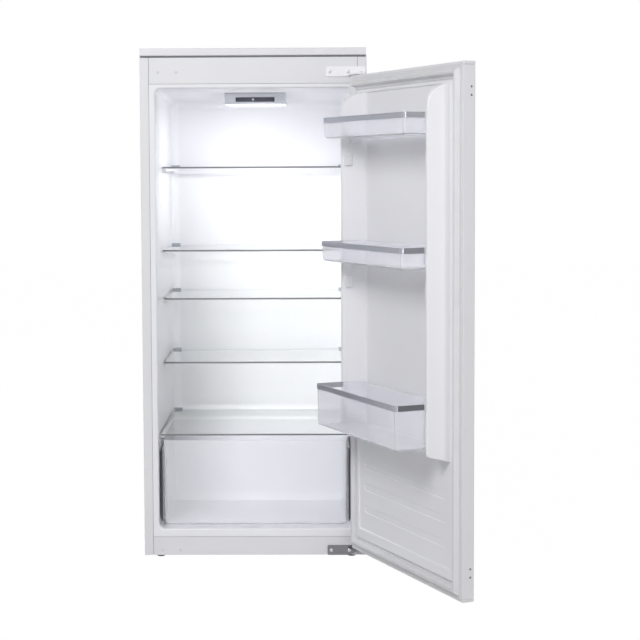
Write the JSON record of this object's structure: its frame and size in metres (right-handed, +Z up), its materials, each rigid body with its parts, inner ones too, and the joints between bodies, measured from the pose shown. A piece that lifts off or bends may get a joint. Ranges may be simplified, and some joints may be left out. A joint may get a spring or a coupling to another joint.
{
  "type": "column refrigerator",
  "caption": "Built-in column refrigerator with glass shelves, a clear crisper drawer, clear door bins and a right-hung door, shown open.",
  "frame": {"origin": "centre of the cabinet body's flat underside, midway between its sides and between its front and back", "axes": "+Z up along the cabinet's height, +X to the right of someone facing the open front, +Y into the depth; the door hangs at +X and opens towards -Y"},
  "size_m": [0.7451, 1.0685, 1.2293],
  "materials": {
    "white_painted_steel": "satin",
    "liner_polystyrene": "gloss",
    "white_abs": "satin",
    "polyurethane_foam": "matt",
    "gasket_pvc": "matt",
    "clear_polystyrene": "clear gloss",
    "toughened_glass": "polished",
    "silver_trim": "satin",
    "grey_stop_plastic": "matt",
    "dark_guide_plastic": "matt",
    "smoked_window": "gloss",
    "lamp_lens": "frosted",
    "zinc_plated_steel": "plated",
    "black_enamelled_steel": "enamelled",
    "aluminium": "mill",
    "copper": "drawn",
    "galvanised_sheet": "galvanised",
    "black_plastic": "matt"
  },
  "bodies": {
    "cabinet": {"side_panel_left": "white_painted_steel", "side_panel_right": "white_painted_steel", "top_panel": "white_painted_steel", "base_panel": "galvanised_sheet", "back_panel": "galvanised_sheet", "insulation_foam": "polyurethane_foam", "inner_liner": "liner_polystyrene", "evaporator_plate": "aluminium", "top_trim_strip": "white_abs", "top_rail": "white_painted_steel", "bottom_rail": "white_painted_steel", "control_housing": "white_abs", "control_window": "smoked_window", "lamp_lens": "lamp_lens", "drawer_guide_left": "dark_guide_plastic", "drawer_guide_right": "dark_guide_plastic", "compressor": "black_enamelled_steel", "compressor_crossbar": "galvanised_sheet", "terminal_box": "black_plastic", "drip_tray": "black_plastic", "condenser_coil": "black_enamelled_steel", "filter_dryer": "copper", "foot_rear_left": "black_plastic", "foot_rear_right": "black_plastic", "hinge_bracket_upper": "white_painted_steel", "hinge_bracket_lower": "zinc_plated_steel", "hinge_pin_upper": "zinc_plated_steel", "hinge_pin_lower": "zinc_plated_steel", "hinge_screw_top_1": "zinc_plated_steel", "hinge_screw_top_2": "zinc_plated_steel", "hinge_screw_bottom_1": "zinc_plated_steel", "hinge_screw_bottom_2": "zinc_plated_steel"},
    "door": {"door_outer_panel": "white_painted_steel", "door_foam": "polyurethane_foam", "door_inner_liner": "liner_polystyrene", "door_gasket": "gasket_pvc", "door_cap_top": "white_abs", "door_cap_bottom": "white_abs", "hinge_bush_upper": "white_abs", "hinge_bush_lower": "white_abs"},
    "bin_top": {"door_bin_top": "clear_polystyrene", "door_bin_top_trim": "silver_trim"},
    "bin_middle": {"door_bin_middle": "clear_polystyrene", "door_bin_middle_trim": "silver_trim"},
    "bin_lower": {"door_bin_lower": "clear_polystyrene", "door_bin_lower_trim": "silver_trim"},
    "shelf_1": {"shelf_1_glass": "toughened_glass", "shelf_1_rear_stop": "grey_stop_plastic"},
    "shelf_2": {"shelf_2_glass": "toughened_glass", "shelf_2_rear_stop": "grey_stop_plastic"},
    "shelf_3": {"shelf_3_glass": "toughened_glass", "shelf_3_rear_stop": "grey_stop_plastic"},
    "shelf_4": {"shelf_4_glass": "toughened_glass", "shelf_4_rear_stop": "grey_stop_plastic"},
    "crisper_cover": {"crisper_cover_glass": "toughened_glass", "crisper_cover_rear_stop": "grey_stop_plastic"},
    "drawer": {"crisper_drawer": "clear_polystyrene"},
    "button": {"temperature_button": "white_abs"},
    "front_foot_left": {"foot_front_left": "black_plastic"},
    "front_foot_right": {"foot_front_right": "black_plastic"}
  },
  "joints": [
    {"name": "door_hinge", "type": "hinge", "parent": "cabinet", "child": "door", "pos_m": [0.25685, -0.2887, 0], "axis": [0, 0, 1], "range_deg": [-113.9, 0]},
    {"name": "drawer_slide", "type": "slide", "parent": "cabinet", "child": "drawer", "axis": [0, -1, 0], "range_m": [0, 0.26]},
    {"name": "shelf_1_slide", "type": "slide", "parent": "cabinet", "child": "shelf_1", "axis": [0, -1, 0], "range_m": [0, 0.15]},
    {"name": "shelf_2_slide", "type": "slide", "parent": "cabinet", "child": "shelf_2", "axis": [0, -1, 0], "range_m": [0, 0.15]},
    {"name": "shelf_3_slide", "type": "slide", "parent": "cabinet", "child": "shelf_3", "axis": [0, -1, 0], "range_m": [0, 0.15]},
    {"name": "shelf_4_slide", "type": "slide", "parent": "cabinet", "child": "shelf_4", "axis": [0, -1, 0], "range_m": [0, 0.15]},
    {"name": "crisper_cover_lift", "type": "slide", "parent": "cabinet", "child": "crisper_cover", "axis": [0, 0, 1], "range_m": [0, 0.03]},
    {"name": "bin_top_lift", "type": "slide", "parent": "door", "child": "bin_top", "axis": [0, 0, 1], "range_m": [0, 0.03]},
    {"name": "bin_middle_lift", "type": "slide", "parent": "door", "child": "bin_middle", "axis": [0, 0, 1], "range_m": [0, 0.03]},
    {"name": "bin_lower_lift", "type": "slide", "parent": "door", "child": "bin_lower", "axis": [0, 0, 1], "range_m": [0, 0.03]},
    {"name": "button_press", "type": "slide", "parent": "cabinet", "child": "button", "axis": [0, 1, 0], "range_m": [0, 0.001], "stiffness_N_per_m": 800},
    {"name": "foot_left_screw_out", "type": "slide", "parent": "cabinet", "child": "front_foot_left", "axis": [0, 0, -1], "range_m": [0, 0.012]},
    {"name": "foot_right_screw_out", "type": "slide", "parent": "cabinet", "child": "front_foot_right", "axis": [0, 0, -1], "range_m": [0, 0.012]}
  ]
}
